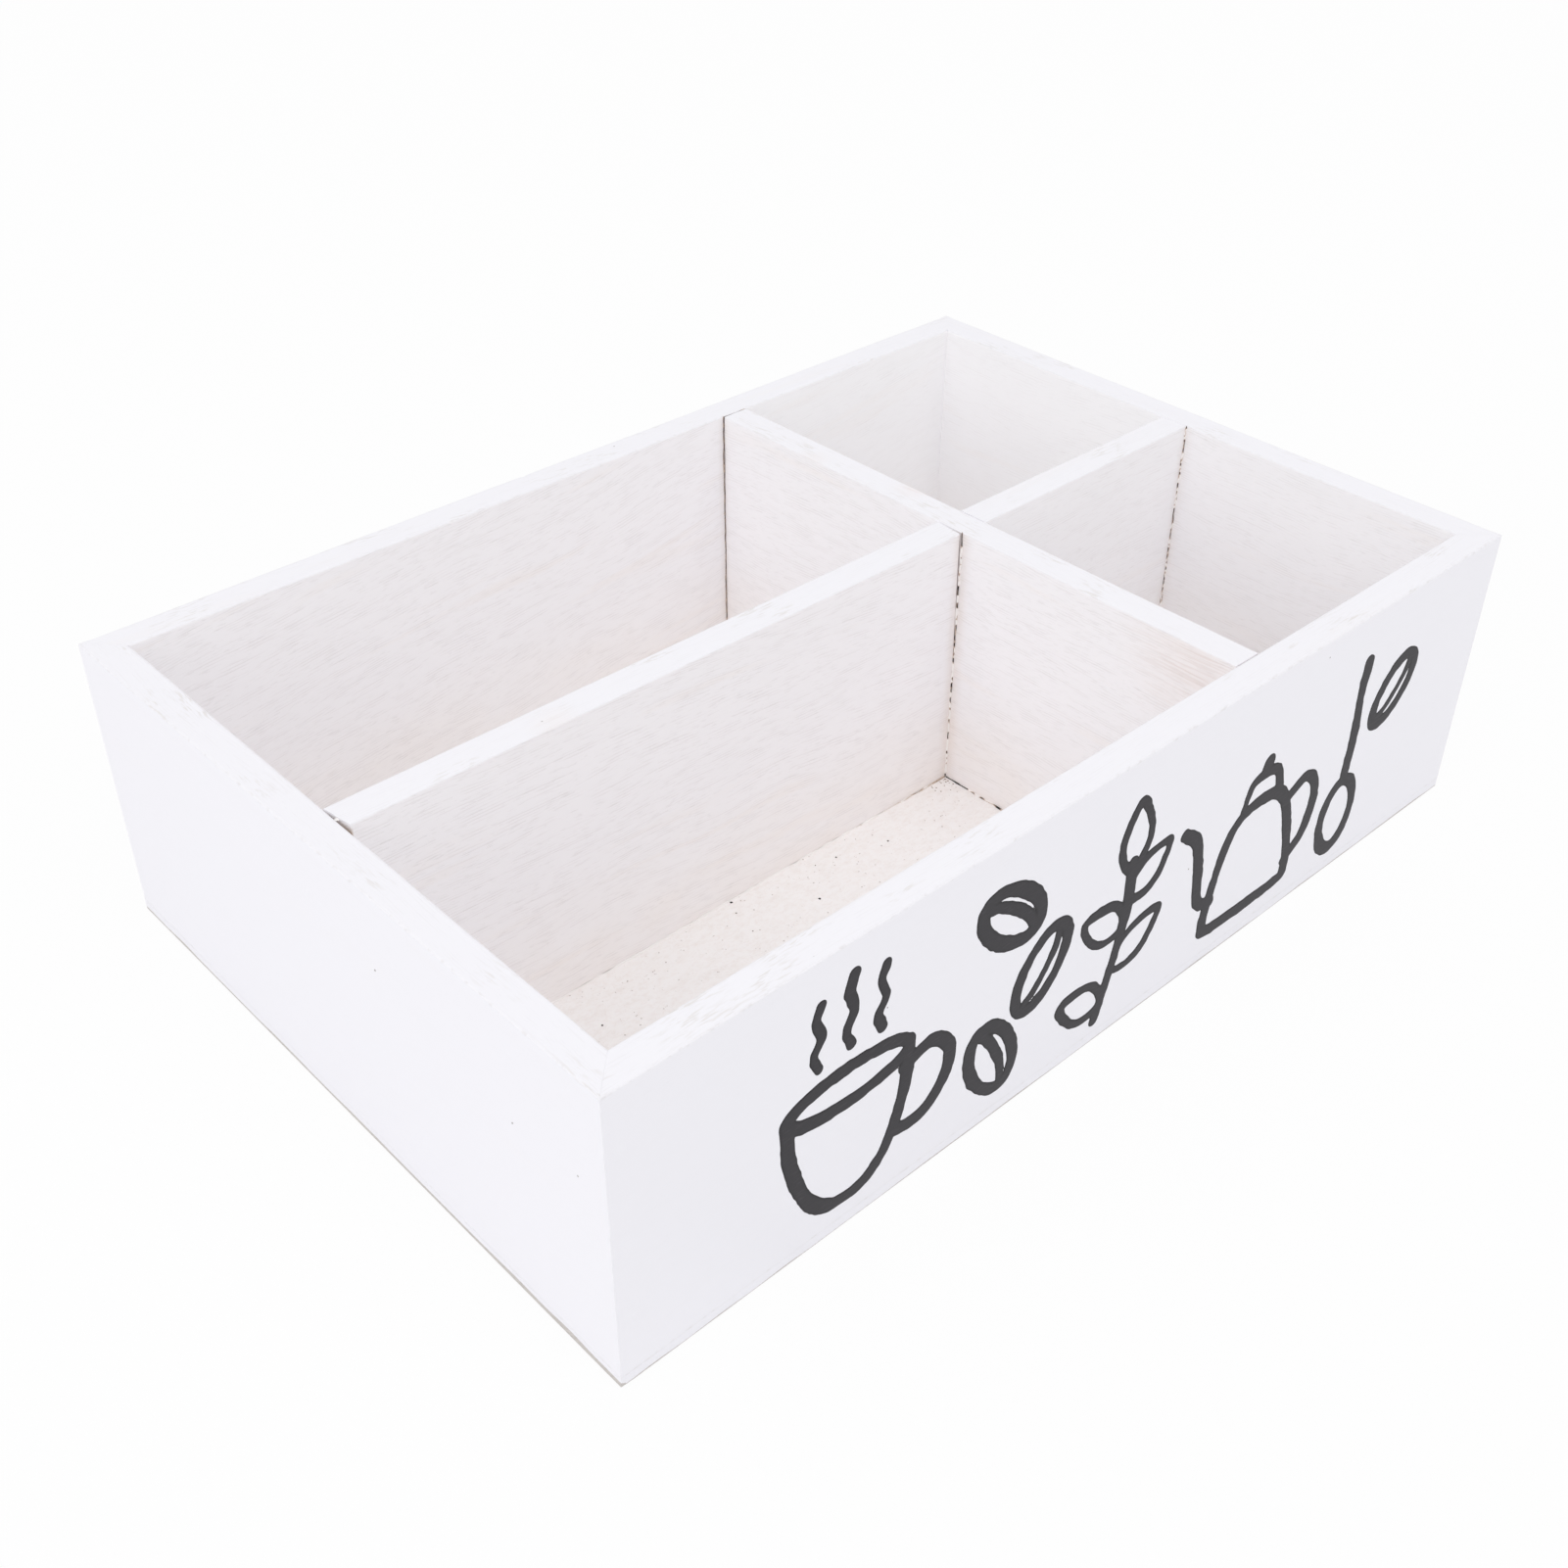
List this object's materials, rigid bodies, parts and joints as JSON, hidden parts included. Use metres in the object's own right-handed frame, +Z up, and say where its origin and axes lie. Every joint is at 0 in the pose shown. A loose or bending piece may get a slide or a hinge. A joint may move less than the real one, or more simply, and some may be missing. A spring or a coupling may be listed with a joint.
{
  "type": "coffee station organizer",
  "caption": "Open wooden countertop box with mitred walls, a thin base and crossing dividers that make long and short compartments.",
  "frame": {"origin": "centre of the box on the surface that it stands on", "axes": "+X along the long front wall towards the short compartments, +Y from the front wall to the back wall, +Z up"},
  "size_m": [0.3, 0.2, 0.082],
  "materials": {
    "painted_board": "white paint over straight grain, satin",
    "base_board": "thin white wash over fibreboard, raw tan edges",
    "painted_filler": "sanded wood filler under white paint",
    "brad_wire": "galvanised wire",
    "joint_glue": "dried wood glue with sawdust, at the joints of the dividers",
    "artwork_ink": "charcoal ink, brushed on the front"
  },
  "bodies": {
    "root": {"front_wall": "painted_board", "back_wall": "painted_board", "left_wall": "painted_board", "right_wall": "painted_board", "cross_divider": "painted_board", "long_divider": "painted_board", "short_divider": "painted_board", "base_panel": "base_board", "nail_hole_filler": "painted_filler", "corner_brads": "brad_wire", "divider_brads": "brad_wire", "base_brads": "brad_wire"}
  },
  "joints": []
}
